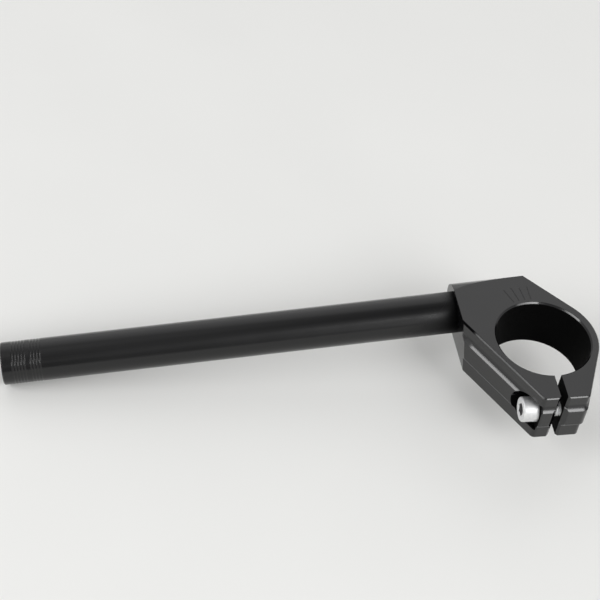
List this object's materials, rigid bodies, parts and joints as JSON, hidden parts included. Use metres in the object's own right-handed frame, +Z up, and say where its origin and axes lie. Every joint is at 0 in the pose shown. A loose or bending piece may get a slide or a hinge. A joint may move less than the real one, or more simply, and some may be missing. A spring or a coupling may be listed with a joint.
{
  "type": "clip-on handlebar",
  "caption": "Clip-on handlebar: a split aluminium clamp for a motorbike fork tube, closed by a pinch screw, with a straight, slightly drooping bar tube that carries the grip and controls.",
  "frame": {"origin": "on the fork tube's axis at half the clamp's height", "axes": "+Z up along the fork axis, the bar runs outboard towards -X and droops below the XY plane, the clamp's ears and slit face -Y"},
  "size_m": [0.3075, 0.0913, 0.0558],
  "materials": {
    "black_anodised_clamp": "milled and black anodised, semi-gloss",
    "black_anodised_tube": "drawn tube, black anodised, semi-gloss",
    "zinc_plated_steel": "bright zinc plated"
  },
  "bodies": {
    "root": {"clamp_body": "black_anodised_clamp", "bar_tube": "black_anodised_tube", "pinch_screw": "zinc_plated_steel"}
  },
  "joints": []
}
